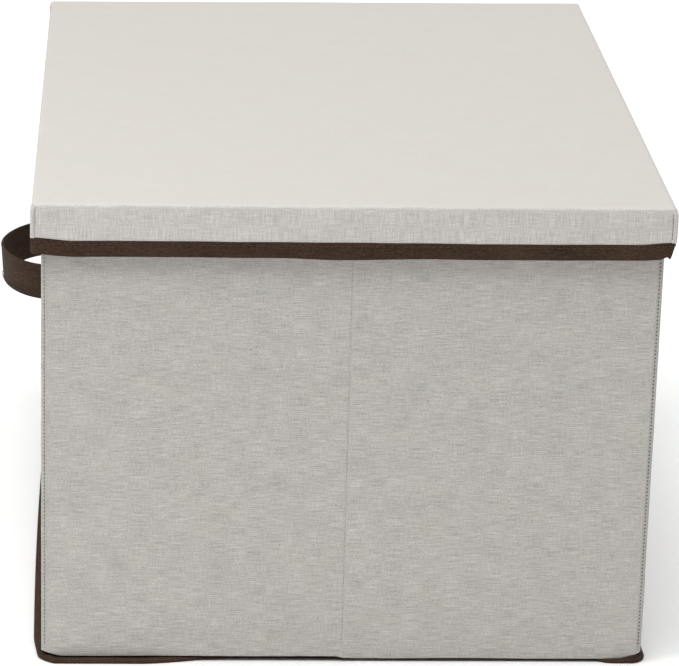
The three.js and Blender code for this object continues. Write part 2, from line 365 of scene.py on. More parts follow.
# The needle-hole thread below makes dark dots at the needle holes: painted shade inside the holes.
HOLE_SHADE = sewing_thread("needle_hole_shade", (0.045, 0.037, 0.030))


# ---- mesh builders
def add_object(name, points, faces, corners, material, sharp_angle=38):
    """A mesh object from points in millimetres. corners gives each face corner's place on the cloth."""
    mesh = bpy.data.meshes.new(name)
    mesh.from_pydata((np.asarray(points) * MM).tolist(), [], faces)
    layer = mesh.uv_layers.new(name="weave")
    layer.data.foreach_set("uv", np.asarray(corners, np.float32).ravel())
    mesh.materials.append(material)
    mesh.shade_smooth()
    mesh.set_sharp_from_angle(angle=math.radians(sharp_angle))
    return add_to_scene(name, mesh)


def quads(rows, columns, ring, tube):
    """Grid places of each quad's corners. ring wraps the rows round, and tube the columns."""
    return [
        [(i, j), (i + 1, j), (i + 1, j + 1), (i, j + 1)]
        for i in range(rows if ring else rows - 1)
        for j in range(columns if tube else columns - 1)
    ]


def grid_normals(grid, ring):
    along = np.roll(grid, -1, 0) - np.roll(grid, 1, 0) if ring else np.gradient(grid, axis=0)
    across = np.gradient(grid, axis=1)
    normal = np.cross(along, across)
    size = np.linalg.norm(normal, axis=2, keepdims=True)
    return np.where(size > 1e-6, normal / np.maximum(size, 1e-6), (0.0, 0.0, 1.0))


def add_sheet(name, grid, weave, thickness, material, ring=False, top_weave=None, top_from=0,
              top_material=None):
    """A closed sheet of cloth. grid holds its outer side, rows by columns, and the other side lies
    one thickness behind. Columns from top_from on take top_weave and top_material instead."""
    grid = np.asarray(grid, float)
    rows, columns = grid.shape[:2]
    points = np.concatenate([
        grid.reshape(-1, 3),
        (grid - grid_normals(grid, ring) * thickness).reshape(-1, 3),
    ])
    behind = rows * columns
    faces = []
    corners = []
    on_top = []

    def place(i, j):
        return (i % rows) * columns + j

    def add(face, spots, column):
        is_top = top_weave is not None and column >= top_from
        source = top_weave if is_top else weave
        faces.append(face)
        on_top.append(is_top)
        corners.extend(source[i][j] for i, j in spots)

    for quad in quads(rows, columns, ring, False):
        face = [place(i, j) for i, j in quad]
        column = quad[0][1]
        add(face, quad, column)
        add([k + behind for k in reversed(face)], quad[::-1], column)
    last = columns - 1
    borders = []
    for i in range(rows if ring else rows - 1):
        borders += [((i + 1, 0), (i, 0)), ((i, last), (i + 1, last))]
    for j in range(0 if ring else last):
        borders += [((0, j), (0, j + 1)), ((rows - 1, j + 1), (rows - 1, j))]
    for start, end in borders:
        a, b = place(*start), place(*end)
        column = min(start[1], end[1])
        add([a, b, b + behind, a + behind], [start, end, end, start], column)
    made = add_object(name, points, faces, corners, material)
    if top_material is not None:
        made.data.materials.append(top_material)
        made.data.polygons.foreach_set("material_index", [int(is_top) for is_top in on_top])
    return made


def add_band(name, grid, weave, ring=False):
    """A solid band of tape: rows follow its path and columns go round its closed section."""
    rows, columns = grid.shape[:2]
    faces = []
    corners = []
    for quad in quads(rows, columns, ring, True):
        faces.append([(i % rows) * columns + j % columns for i, j in quad])
        corners.extend(weave[i][j] for i, j in quad)
    if not ring:
        first = [(0, j) for j in range(columns)]
        last = [(rows - 1, j) for j in reversed(range(columns))]
        for cap in (first, last):
            faces.append([i * columns + j for i, j in cap])
            corners.extend(weave[i][j] for i, j in cap)
    return add_object(name, grid.reshape(-1, 3), faces, corners, BROWN)


def lengths_along(points, ring=False):
    """Distance along a row of points, with one more entry if it closes on itself."""
    steps = np.linalg.norm(np.diff(points, axis=0), axis=1)
    if ring:
        steps = np.append(steps, np.linalg.norm(points[0] - points[-1]))
    return np.concatenate([[0.0], np.cumsum(steps)])


def girth_along(section):
    """Distance round a closed section, back to its first point."""
    return lengths_along(np.asarray(section), ring=True)


def crossed(first, second):
    """Every pair of two lists of numbers, as two grids."""
    return np.meshgrid(first, second, indexing="ij")


def weave_of(first, second):
    """Cloth coordinates for a grid, from those of its rows and of its columns."""
    return np.stack(crossed(first, second), axis=2)


def spaced(start, end, step):
    """Evenly spaced numbers from start to end, about step apart."""
    return np.linspace(start, end, max(2, int(round(abs(end - start) / step)) + 1))


def merge_doubles(piece):
    """Joins vertices that lie on each other, as where rings close onto a line."""
    work = bmesh.new()
    work.from_mesh(piece.data)
    bmesh.ops.remove_doubles(work, verts=work.verts, dist=0.01 * MM)
    work.to_mesh(piece.data)
    work.free()


def ripple(u, v, seed, size):
    """The unevenness of cloth over board: a few crossing waves, from about -1 to 1."""
    waves = 5
    height = 0.0
    for k in range(waves):
        angle = 1.7 * seed + 2.4 * k
        length = size * (0.6 + 0.35 * k)
        phase = 3.1 * seed + 1.9 * k
        travel = u * math.cos(angle) + v * math.sin(angle)
        height = height + np.sin(travel * 2 * math.pi / length + phase)
    return height / waves


def smooth_step(value, start, end):
    share = np.clip((value - start) / (end - start), 0, 1)
    return share * share * (3 - 2 * share)


def bump(value, centre, reach):
    return np.exp(-((value - centre) / reach) ** 2)


def resampled(points, count):
    """The same line with evenly spaced points."""
    along = lengths_along(points)
    wanted = np.linspace(0, along[-1], count)
    return np.stack([np.interp(wanted, along, points[:, k]) for k in range(points.shape[1])], axis=1)


def rounded(points):
    """The line with its corners cut twice by Chaikin's rule, its two ends kept."""
    for _ in range(2):
        near = points[:-1] * 0.75 + points[1:] * 0.25
        far = points[:-1] * 0.25 + points[1:] * 0.75
        middle = np.stack([near, far], axis=1).reshape(-1, points.shape[1])
        points = np.concatenate([points[:1], middle, points[-1:]])
    return points


# A stitch's rings, as (share of its length, rise and radius as shares of its thickness).
STITCH_SHAPE = (
    (-0.5, -0.35, 0.45), (-0.3, 0.25, 0.9), (0.0, 0.5, 1.0), (0.3, 0.25, 0.9), (0.5, -0.35, 0.45),
)
STITCH_TOP = 1.5         # height of a stitch's top above its line, in thicknesses
STITCH_SIDES = 6


def add_stitch(points, faces, corners, centre, here, direction, out, length, thick):
    """One arched thread at a point, added to the lists that a row is made of."""
    side = np.cross(direction, out)
    side = side / max(np.linalg.norm(side), 1e-6)
    out = np.cross(side, direction)
    first = len(points)
    rings = len(STITCH_SHAPE)
    for share, rise, width in STITCH_SHAPE:
        middle = here + direction * share * length + out * rise * thick
        for angle in np.linspace(0, 2 * math.pi, STITCH_SIDES, endpoint=False):
            spread = out * math.cos(angle) + side * math.sin(angle)
            points.append(middle + spread * width * thick)
    for quad in quads(rings, STITCH_SIDES, False, True):
        faces.append([first + i * STITCH_SIDES + k % STITCH_SIDES for i, k in reversed(quad)])
        corners.extend((centre + i, k) for i, k in reversed(quad))
    faces.append([first + k for k in reversed(range(STITCH_SIDES))])
    faces.append([first + (rings - 1) * STITCH_SIDES + k for k in range(STITCH_SIDES)])
    corners.extend([(centre, k) for k in range(STITCH_SIDES)] * 2)


def stitches(name, rows, material, thick=0.34, length=3.1, pitch=4.5, phase=0.5):
    """Sewn stitches. rows holds lines as (points, direction outwards)."""
    points = []
    faces = []
    corners = []
    for line, outwards in rows:
        line = np.asarray(line, float)
        outwards = np.asarray(outwards, float)
        if outwards.ndim == 1:
            outwards = np.tile(outwards, (len(line), 1))
        along = lengths_along(line)

        def at(distance, values):
            return np.array([np.interp(distance, along, values[:, k]) for k in range(3)])

        for centre in np.arange(phase * pitch, along[-1] - 0.3 * pitch, pitch):
            ahead = at(centre + 0.5, line) - at(centre - 0.5, line)
            direction = ahead / max(np.linalg.norm(ahead), 1e-6)
            out = at(centre, outwards)
            add_stitch(points, faces, corners, centre, at(centre, line), direction, out, length, thick)
    return add_object(name, points, faces, corners, material, sharp_angle=80)


# ---- what each piece stands for
def settle(piece, body=None, nodes=()):
    """Attaches a piece to the body that carries it, if one is given, and hides the CAD nodes it stands for.
    """
    if body:
        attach(piece, body)
    if nodes:
        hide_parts(*nodes)


def sew(name, rows, material, slot, body, **size):
    """Stitches that keep to one body."""
    settle(stitches(name, rows, material, **size), body)


def across(piece, first, second, start, end):
    """Bakes a piece's transform into its mesh; it does not bend the piece. The two bodies are not used, and
    the two (x, y) places in millimetres are turned into metres but not used.
    """
    start = (start[0] * MM, start[1] * MM, 0)
    end = (end[0] * MM, end[1] * MM, 0)
    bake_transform(piece)


# ---- walls
# Places on a wall are given along it, out from its outer face and above the floor. Seen from
# outside, along grows to the right.
def on_wall(wall, along, out, up):
    along, out, up = np.broadcast_arrays(
        np.asarray(along, float), np.asarray(out, float), np.asarray(up, float)
    )
    places = {
        "front": (along, -HALF_DEPTH - out, up),
        "back": (-along, HALF_DEPTH + out, up),
        "left": (-HALF_WIDTH - out, -along, up),
        "right": (HALF_WIDTH + out, along, up),
    }
    return np.stack(places[wall], axis=-1)


def wall_sheet(name, wall, along, out, up, thickness, material):
    """A sheet that lies on a wall. Its cloth coordinates are the places along and up the wall."""
    return add_sheet(name, on_wall(wall, along, out, up), np.stack([along, up], axis=2), thickness, material)


OUTWARDS = {"front": (0, -1, 0), "back": (0, 1, 0), "left": (-1, 0, 0), "right": (1, 0, 0)}
WALL_SEEDS = {"front": 1, "back": 2, "left": 5, "right": 8}
END_BODIES = {
    "front": ("front_left_leaf", "front_right_leaf"),
    "back": ("back_left_leaf", "back_right_leaf"),
}

CLOTH_LOW = 2.7          # the outer cloth's lower edge, above the floor
CLOTH_LOW_LEFT = 1.2     # how much higher it is on the front's left leaf
CUT_LEFT, CUT_RIGHT = 13, 10        # reach of the cut corners at the front's lower edge
FOLD_GROOVE = 0.12       # depth of the stitched fold line
FOLD_REACH = 3.0


def wall_half(wall):
    return HALF_WIDTH if wall in END_BODIES else SIDE_HALF


def cloth_low(wall, along):
    """Height of the cloth's lower edge. It is drawn up at the corners."""
    edge = CLOTH_LOW + 0.25 * ripple(along, 0, 3, 60)
    if wall == "front":
        edge = edge + CLOTH_LOW_LEFT * (1 - smooth_step(along, -6, 4))
        left = np.clip((-HALF_WIDTH + CUT_LEFT - along) / CUT_LEFT, 0, 1)
        right = np.clip((along - HALF_WIDTH + CUT_RIGHT) / CUT_RIGHT, 0, 1)
        return edge + 4.2 * left ** 1.4 + 5.6 * right ** 1.1
    corner = np.clip((np.abs(along) - wall_half(wall) + 10) / 10, 0, 1)
    return edge + 4.0 * corner ** 2


def wall_surface(wall, along, up):
    """How far out the cloth stands: slightly uneven, drawn in at the seams and the fold line."""
    seed = WALL_SEEDS[wall]
    out = 0.28 * ripple(along, up, seed, 95) + 0.10 * ripple(along, up, seed + 3, 34)
    out = out - 0.9 * np.clip((14 - up) / 12, 0, 1) ** 2
    out = out - 0.7 * smooth_step(up, COVER_TOP - 60, COVER_TOP - 22)
    edge = np.clip((np.abs(along) - wall_half(wall) + 8) / 8, 0, 1)
    out = out * (1 - edge)
    if wall in END_BODIES:
        fold = bump(along, 0, FOLD_REACH * 0.5)
        out = out * (1 - fold) - FOLD_GROOVE * fold + 0.04 * bump(along, 2.2, 1.2)
    return out


def end_columns():
    """Positions across an end wall, close together at the fold line and at the corners."""
    half = HALF_WIDTH - 0.6
    right = np.concatenate([
        np.arange(0.35, 5, 0.7),
        np.arange(5, 14, 1.5),
        np.arange(14, half - 16, 4.0),
        spaced(half - 16, half, 1.6),
    ])
    return np.concatenate([-right[::-1], right])


def outer_cloth(wall, columns):
    """The outer cloth of one wall. Its rows of points are closer together near the floor."""
    low = cloth_low(wall, columns)
    share = np.concatenate([np.linspace(0, 0.05, 8), np.linspace(0.05, 1, 70)[1:]])
    up = low[:, None] + share[None, :] * (COVER_TOP - low[:, None])
    along = np.broadcast_to(columns[:, None], up.shape)
    # The walls take the darker wall linen: painted shade, as the walls are less lit than the lid.
    return wall_sheet(f"{wall}_cloth", wall, along, wall_surface(wall, along, up), up, CLOTH, SHADED_LINEN)


def end_wall_cloth(wall):
    """The outer cloth of a short end: one piece across the stitched fold line."""
    piece = outer_cloth(wall, end_columns())
    y = on_wall(wall, 0, 0, 0)[1]
    across(piece, *END_BODIES[wall], (-FOLD_REACH, y), (FOLD_REACH, y))
    settle(piece, nodes=(f"{wall}_left_cover", f"{wall}_right_cover"))


def side_wall_cloth(wall):
    """The outer cloth of a long side, which stays flat."""
    half = SIDE_HALF - 0.3
    piece = outer_cloth(wall, spaced(-half, half, 4.5))
    settle(piece, f"{wall}_wall", [f"{wall}_cover"])


def inner_cloth(panel, wall, start, end, body):
    """A panel's lining, facing inwards."""
    name = f"{panel}_lining_cloth"
    along, up = crossed(spaced(end, start, 6), spaced(WALL_BASE + 0.3, COVER_TOP, 6))
    out = 0.11 * ripple(along, up, len(name), 80) + 0.05 - PANEL
    piece = wall_sheet(name, wall, along, out, up, LINING, INNER)
    settle(piece, body, [f"{panel}_lining"])


def rim_profile():
    """Section of the bound rim over a wall's top edge, as (out, up) from its outer lower edge."""
    top = RIM_TOP - 0.6
    return rounded(np.array([
        (0.25, RIM_BASE - 1.2), (0.3, RIM_BASE + 3), (0.25, top - 0.5), (-0.8, top + 0.1),
        (-PANEL / 2, top + 0.15), (-PANEL + 0.8, top + 0.1), (-PANEL - 0.25, top - 0.5),
        (-PANEL - 0.3, RIM_BASE + 3), (-PANEL - 0.25, RIM_BASE - 1.2),
    ]))


def rim(panel, wall, start, end, body):
    """The bound rim of one panel: a folded tape, tucked over the board at both ends, with a row
    of stitches on each side."""
    name = f"{panel}_rim_tape"
    profile = rim_profile()
    places = spaced(start, end, 5)
    rows = np.concatenate([places[:1], places, places[-1:]])
    along = np.repeat(rows[:, None], len(profile), axis=1)
    wave = 0.18 * ripple(rows, 0, len(name), 45)[:, None]
    out = np.repeat(profile[None, :, 0], len(rows), axis=0)
    out[[0, -1]] = -PANEL / 2
    up = profile[None, :, 1] + wave * (profile[None, :, 1] < RIM_BASE + 2)
    grid = on_wall(wall, along, out, up)
    path = lengths_along(profile)
    tucked = np.concatenate([[start - PANEL / 2], places, [end + PANEL / 2]])
    piece = add_sheet(name, grid, weave_of(tucked, path), RIM_TAPE, BROWN)
    settle(piece, body, [f"{panel}_rim"])
    lines = []
    for line_out, sign in ((-0.06, 1), (-PANEL + 0.06, -1)):
        line = on_wall(wall, places, line_out, RIM_BASE + 0.9)
        lines.append((line, sign * np.array(OUTWARDS[wall])))
    sew(f"{name}_stitches", lines, DARK_THREAD, "brown_binding", body)


def make_panels():
    """The lining and rim of each board-stiffened panel, between two places along its wall."""
    gap = 0.3
    edge = HALF_WIDTH - 0.2
    for panel, wall, body, start, end in (
        ("front_left", "front", "front_left_leaf", -edge, -gap),
        ("front_right", "front", "front_right_leaf", gap, edge),
        ("back_right", "back", "back_right_leaf", -edge, -gap),
        ("back_left", "back", "back_left_leaf", gap, edge),
        ("left", "left", "left_wall", -SIDE_HALF, SIDE_HALF),
        ("right", "right", "right_wall", -SIDE_HALF, SIDE_HALF),
    ):
        inner_cloth(panel, wall, start, end, body)
        rim(panel, wall, start, end, body)


def fold_lining(wall):
    """A strip of lining over the gap between an end wall's two leaves, on the inside."""
    reach = 9.0
    along, up = crossed(spaced(reach, -reach, 0.75), spaced(WALL_BASE + 1, COVER_TOP - 1, 8))
    out = -PANEL - 0.2 - 0.2 * bump(along, 0, 3)
    piece = wall_sheet(f"{wall}_fold_lining", wall, along, out, up, THIN_CLOTH, INNER)
    y = on_wall(wall, 0, -PANEL, 0)[1]
    across(piece, *END_BODIES[wall], (1 - reach, y), (reach - 1, y))
    settle(piece)


def fold_stitches(wall):
    """Stitches and needle holes down an end wall's fold, on its left leaf's edge. The holes are dark dots of
    painted shade.
    """
    up = spaced(12, COVER_TOP - 2, 4)
    along = np.full_like(up, -0.75 if wall == "front" else 0.75)
    line = on_wall(wall, along, wall_surface(wall, along, up) - 0.05, up)
    rows = [(line, OUTWARDS[wall])]
    leaf = END_BODIES[wall][0]
    sew(f"{wall}_fold_stitches", rows, PALE_THREAD, "linen_cloth", leaf, thick=0.24)
    sew(f"{wall}_fold_needle_holes", rows, HOLE_SHADE, "linen_cloth", leaf,
        thick=0.20, length=0.5, phase=1.0)


# The corners: a narrow folded ridge of cloth, stitched along its front edge.
CORNER_FACE = 3.4        # how far the ridge reaches along the end wall
CORNER_SIDE = 9.0        # and along the side wall
CORNER_PROUD = 0.14
CORNER_PITCH = 2.6       # from one stitch to the next
CORNER_LOW = {(1, -1): 8.6, (-1, -1): 8.2, (1, 1): 8.0, (-1, 1): 8.0}      # where a ridge begins
CORNERS = (
    ("front", "left", -1, -1), ("front", "right", 1, -1), ("back", "left", -1, 1), ("back", "right", 1, 1),
)
JOINED = {(joint["parent"], joint["child"]) for joint in frame["joints"]}


def upright(x, y, up):
    """A line of points above each other."""
    return np.stack([np.full_like(up, x), np.full_like(up, y), up], axis=1)


def corner_profile():
    """Section of a corner ridge, as (in from the corner along the end, in along the side)."""
    proud = CORNER_PROUD
    return rounded(np.array([
        (CORNER_FACE, 0.0), (CORNER_FACE - 0.7, -proud), (2.2, -proud * 0.6), (1.0, -proud * 1.5),
        (-proud * 0.9, -proud * 1.2), (-proud * 1.3, 0.9), (-proud, 3.2), (-proud, CORNER_SIDE - 0.4),
        (0.1, CORNER_SIDE),
    ]))


def corner_sheet(name, grid, rows, path, turned, material):
    """A ridge of cloth. Turning its grid round puts its thickness on the other side."""
    weave = weave_of(rows, path)[:, :, ::-1]
    if turned:
        grid = grid[::-1]
        weave = weave[::-1]
    return add_sheet(name, grid, weave, THIN_CLOTH, material)


def corner_ridge(end, side, side_x, side_y):
    """One ridge. Where wall and leaf have a joint it rides with no body, and at the back right corner,
    where the two have no joint, it stays with its leaf."""
    name = f"{end}_{side}_corner"
    leaf, wall = f"{end}_{side}_leaf", f"{side}_wall"
    profile = corner_profile()
    rows = spaced(CORNER_LOW[side_x, side_y], COVER_TOP, 4)
    wave = 0.16 * ripple(rows, 0, 4 + side_x + 2 * side_y, 38)[:, None]
    x = side_x * (HALF_WIDTH - profile[:, 0] + wave)
    y = side_y * (HALF_DEPTH - profile[:, 1] + 0.5 * wave)
    up = np.broadcast_to(rows[:, None], x.shape)
    path = lengths_along(profile)
    # The right-hand ridges take the darker linen: painted shade on the bin's right side.
    material = LINEN_EDGE_SHADED if side_x > 0 else SHADED_LINEN
    grid = np.stack([x, y, up], axis=2)
    piece = corner_sheet(name, grid, rows, path, side_x * side_y < 0, material)
    on_leaf = (side_x * (HALF_WIDTH - 3.6), side_y * (HALF_DEPTH + 0.3))
    on_side = (side_x * (HALF_WIDTH + 0.3), side_y * (HALF_DEPTH - 7.0))
    body = None
    if (wall, leaf) in JOINED:
        across(piece, wall, leaf, on_side, on_leaf)
    elif (leaf, wall) in JOINED:
        across(piece, leaf, wall, on_leaf, on_side)
    else:
        body = leaf
    settle(piece, body)
    corner_stitches(name, side_x, side_y, rows[0] + 3, leaf)


def corner_stitches(name, side_x, side_y, low, leaf):
    """The ridge's stitches and needle holes, the holes as dark dots of painted shade. The holes show most at
    the right-hand corners.
    """
    hole = 0.52 if side_x > 0 else 0.22
    up = spaced(low, COVER_TOP - 2, 4)
    for part, material, thick, lift, phase in (
        ("stitches", PALE_THREAD, 0.26, 0.20, 0.5),
        ("needle_holes", HOLE_SHADE, hole, 0.36, 1.0),
    ):
        y = side_y * (HALF_DEPTH + CORNER_PROUD + lift - STITCH_TOP * thick)
        line = upright(side_x * (HALF_WIDTH - 1.9), y, up)
        sew(f"{name}_{part}", [(line, (0, side_y, 0))], material, "linen_cloth", leaf,
            thick=thick, length=1.3, pitch=CORNER_PITCH, phase=phase)


# ---- outlines in plan
ARC_STEPS = 6


def outline(half_x, half_y, radius, spacing):
    """Points and outward directions round a rounded rectangle, anticlockwise from above,
    starting on the front side at its left. The number of points depends on spacing only."""
    centre_x, centre_y = half_x - radius, half_y - radius
    centres = np.array([(centre_x * a, centre_y * b) for a, b in ((-1, -1), (1, -1), (1, 1), (-1, 1))])
    counts = [int(round(2 * half / spacing)) for half in (HALF_WIDTH, HALF_DEPTH)]
    points = []
    outwards = []
    for quarter in range(4):
        turns = [0] * (counts[quarter % 2] + 1) + list(range(1, ARC_STEPS))
        shares = np.append(np.linspace(0, 1, counts[quarter % 2] + 1), np.ones(ARC_STEPS - 1))
        for step, share in zip(turns, shares):
            angle = (quarter - 1 + step / ARC_STEPS) * math.pi / 2
            outward = np.array((math.cos(angle), math.sin(angle)))
            centre = centres[quarter] * (1 - share) + centres[(quarter + 1) % 4] * share
            points.append(centre + radius * outward)
            outwards.append(outward)
    return np.array(points), np.array(outwards)


# ---- base
FLANGE_HEIGHT = 3.1
FLANGE_TUCKED = -5.2     # how far the seam stands out under the middle of the front
LEFT_END, RIGHT_END = (-135, -68), (163, 181)       # where it comes out again at the front's ends


def flange_reach(point_xy, outward):
    """How far the bound seam stands out. In the middle of the front it is tucked under, and
    along the left side it bows out."""
    x, y = point_xy
    bow = 1 - ((y - 60) / 325) ** 2
    reach = 4.2 + 2.0 * bow + 0.4 * math.sin(y / 31)
    if x < 0:
        reach = 5.2 + 4.6 * bow - 2.5 * (1 - smooth_step(y, -HALF_DEPTH, -HALF_DEPTH + 36))
    if outward[1] > 0.3:
        reach = 5.6 + 0.4 * math.sin(x / 23 + 1)
    if outward[1] < -0.3:
        leftmost = 1 - smooth_step(x, *LEFT_END)
        rightmost = smooth_step(x, *RIGHT_END)
        front = FLANGE_TUCKED + 9.6 * leftmost + 1.0 * smooth_step(x, -40, 20) + 5.8 * rightmost
        front -= 4.5 * (1 - smooth_step(x, -HALF_WIDTH - 2, -HALF_WIDTH + 9))
        side = abs(outward[0])
        reach = front * (1 - side) + reach * side
    return float(reach)


def flange_height(point_xy):
    """The seam rises a little where it turns the front corners."""
    x, y = point_xy
    right = bump(x, HALF_WIDTH, 9) * bump(y, -HALF_DEPTH, 9)
    left = bump(x, -HALF_WIDTH, 7) * bump(y, -HALF_DEPTH, 7)
    return FLANGE_HEIGHT + 4.4 * right + 2.0 * left + 0.25 * math.sin(x / 17) * math.cos(y / 19)


def squash_with_walls(piece):
    """Attaches a base piece to the left wall and gives it its own copy of its mesh."""
    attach(piece, "left_wall")
    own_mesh(piece)


def base_binding():
    """The bound seam round the base: a flattened folded tape, swept round the walls."""
    points, outwards = outline(HALF_WIDTH, HALF_DEPTH, 8.5, 5.0)
    grid = []
    for place, outward in zip(points, outwards):
        reach = flange_reach(place, outward)
        top = flange_height(place)
        section = (
            (-12.0, 0.15), (-12.0, 1.2), (reach - 6.5, 1.35), (reach - 5.0, top * 0.85),
            (reach - 3.6, top), (reach - 2.0, top * 0.95), (reach - 0.6, top * 0.82),
            (reach, top * 0.5), (reach - 0.4, top * 0.16), (reach - 1.7, 0.02), (-9.0, 0.0),
        )
        grid.append([(*(place + outward * out), up) for out, up in section])
    grid = np.array(grid)
    around_base = lengths_along(grid[:, 7], ring=True)
    girth = girth_along(grid[0])
    piece = add_band("base_seam_tape", grid, weave_of(around_base, girth), ring=True)
    squash_with_walls(piece)
    settle(piece, nodes=["base_binding"])


def base_cloth():
    """The cloth floor of the bin, its edge inside the bound seam and its corners cut."""
    inset = 8
    cut = 12
    half_x, half_y = HALF_WIDTH - inset, HALF_DEPTH - inset
    top = extent("base_cloth")[1][2] - 0.12
    x, y = crossed(spaced(-half_x, half_x, 8), spaced(-half_y, half_y, 8))
    grid = np.stack([x, y, top + 0.1 * ripple(x, y, 6, 70)], axis=2)
    corner = np.minimum(half_x - np.abs(x), cut) + np.minimum(half_y - np.abs(y), cut)
    inwards = np.clip(cut - corner, 0, cut) / 2
    grid[:, :, 0] -= np.sign(x) * inwards
    grid[:, :, 1] -= np.sign(y) * inwards
    piece = add_sheet("base_cloth_sheet", grid, np.stack([x, y], axis=2), LINING, SHADED_LINEN)
    squash_with_walls(piece)
    settle(piece, nodes=["base_cloth"])


# ---- cloth caps
def cap_grid(half_x, half_y, low, top, edge, corner, spacing, skirt_step, inset_step):
    """A shallow cap of cloth, from the lower edge of its skirt to the middle of its top.
    Returns the grid, its cloth coordinates on the skirt and top, and the column they change at."""
    skirt = [(0.0, up) for up in spaced(low, top - edge, skirt_step)]
    bend = [
        (edge * (1 - math.cos(angle)), top - edge + edge * math.sin(angle))
        for angle in np.linspace(0, math.pi / 2, 5)[1:]
    ]
    near = [(edge + extra, top) for extra in (1.5, 4.0, 8.0)]
    far = [(inset, top) for inset in spaced(edge + 14, half_x, inset_step)]
    profile = skirt + bend + near + far
    columns = []
    for inset, up in profile:
        radius = max(corner - inset, 0.0)
        points, _ = outline(half_x - inset, half_y - inset, radius, spacing)
        columns.append(np.column_stack([points, np.full(len(points), up)]))
    grid = np.stack(columns, axis=1)
    side_weave = weave_of(lengths_along(grid[:, 0], ring=True), lengths_along(np.array(profile)))
    flat_weave = np.concatenate([grid[:, :, :2], grid[:1, :, :2]])
    return grid, side_weave, flat_weave, len(skirt) + 1


def cap_sheet(name, grid, side, flat, change, thickness, material, top_material=None):
    """The cap as a sheet, closed where its rings meet on the middle line."""
    piece = add_sheet(name, grid, side, thickness, material, ring=True,
                      top_weave=flat, top_from=change, top_material=top_material)
    merge_doubles(piece)
    return piece


# ---- the lid
# How far each corner of the lid has shifted out of true, as (x, y, z).
LID_SHIFTS = {
    (-1, -1): (0.8, 0.0, -0.4),
    (1, -1): (-1.0, 0.0, 0.9),
    (-1, 1): (-0.5, -1.5, -1.1),
    (1, 1): (-0.3, 2.5, 2.0),
}
LID_TUCK = 2.0           # how far the outer cloth reaches down inside the hem
LINING_TUCK = 3.0        # and the lining
BOARD_SHORT = 2.6        # how far the skirt boards stop above the bottom of the hem


def lid_warp(points):
    """The lid is slightly twisted: its corners' shifts, spread evenly over it."""
    moved = np.array(points, float)
    x = moved[..., 0] / LID_X
    y = moved[..., 1] / LID_Y
    shift = 0
    for (side_x, side_y), corner in LID_SHIFTS.items():
        weight = (1 + side_x * x) * (1 + side_y * y) / 4
        shift = shift + weight[..., None] * np.array(corner)
    return moved + shift


def skirt_sag(points):
    """Small unevenness of the skirt: the lower edge waves and the cloth stands out a little."""
    points = np.array(points, float)
    x, y, z = points[..., 0], points[..., 1], points[..., 2]
    down = smooth_step(LID_TOP - z, 1.0, 14.0)
    on_front = smooth_step(-y, LID_Y - 14, LID_Y - 6)
    on_right = smooth_step(x, LID_X - 14, LID_X - 6)
    wave = 0.35 * ripple(x, y, 11, 85)
    points[..., 2] += down * wave
    points[..., 1] -= down * on_front * 0.3 * ripple(x, z, 13, 70)
    near_corner = smooth_step(-y, LID_Y - 60, LID_Y)
    belly = np.sin(np.clip((LID_TOP - z) / 24, 0, 1) * math.pi)
    points[..., 0] += on_right * near_corner * 0.3 * belly
    return points


def lid_shape(points):
    return lid_warp(skirt_sag(points))


def lid_cloth():
    """One piece of cloth over the top and down the four sides."""
    low = HEM_HIGH - LID_TUCK
    grid, *weaves = cap_grid(LID_X, LID_Y, low, LID_TOP, edge=2.2, corner=3.0,
                             spacing=8.0, skirt_step=2.6, inset_step=10.0)
    on_top = smooth_step(grid[..., 2], LID_TOP - 1.5, LID_TOP)
    grid[..., 2] += on_top * 0.22 * ripple(grid[..., 0], grid[..., 1], 17, 120)
    piece = cap_sheet("lid_cloth", lid_shape(grid), *weaves, CLOTH, LINEN_LID, LINEN_TOP)
    settle(piece, "lid", ["lid_cover"])


def lid_inner_cloth():
    """The lining under the lid and down the inside of its skirt."""
    half_x, half_y, top = extent("lid_lining")[1]
    low = HEM_HIGH - LINING_TUCK
    grid, *weaves = cap_grid(half_x, half_y, low, top, edge=1.2, corner=1.5,
                             spacing=20.0, skirt_step=5.0, inset_step=20.0)
    piece = cap_sheet("lid_inner_cloth", lid_warp(grid), *weaves, LINING, INNER)
    settle(piece, "lid", ["lid_lining"])


def lid_stiffener(part):
    """A board of the lid with eased edges, which follows the lid's slight twist."""
    node, name = f"lid_{part}_board", f"lid_{part}_stiffener"
    low, high = extent(node)
    if part != "top":
        low[2] += BOARD_SHORT
    work = bmesh.new()
    bmesh.ops.create_cube(work, size=1.0)
    for vertex in work.verts:
        vertex.co = Vector((low + high) / 2) + Vector(vertex.co) * Vector(high - low)
    bmesh.ops.bevel(work, geom=list(work.edges), offset=0.25, segments=2, affect="EDGES")
    long_edges = [e for e in work.edges if e.calc_length() > 30]
    bmesh.ops.subdivide_edges(work, edges=long_edges, cuts=7, use_grid_fill=True)
    moved = lid_warp([tuple(v.co) for v in work.verts]) * MM
    for vertex, place in zip(work.verts, moved):
        vertex.co = Vector(place)
    mesh = bpy.data.meshes.new(name)
    work.to_mesh(mesh)
    work.free()
    mesh.materials.append(BOARD)
    settle(add_to_scene(name, mesh), "lid", [node])


# The front of the hem. A lift moves it up at full height, and a lower part of it less.
HEM_LIFT_LEFT, HEM_LIFT_RIGHT = 2.0, 1.1
HEM_DIP = 0.7            # where the whole hem dips, right of the middle
HEM_SAG = 0.4            # how much the lower edge sags between the ends
HEM_SAG_MIDDLE = 1.2     # and more at the fold line
HEM_NOTCH = 1.9          # a notch in the lower edge near the right corner
HEM_CURL = 2.4           # how far the lower edge curls in at the right corner


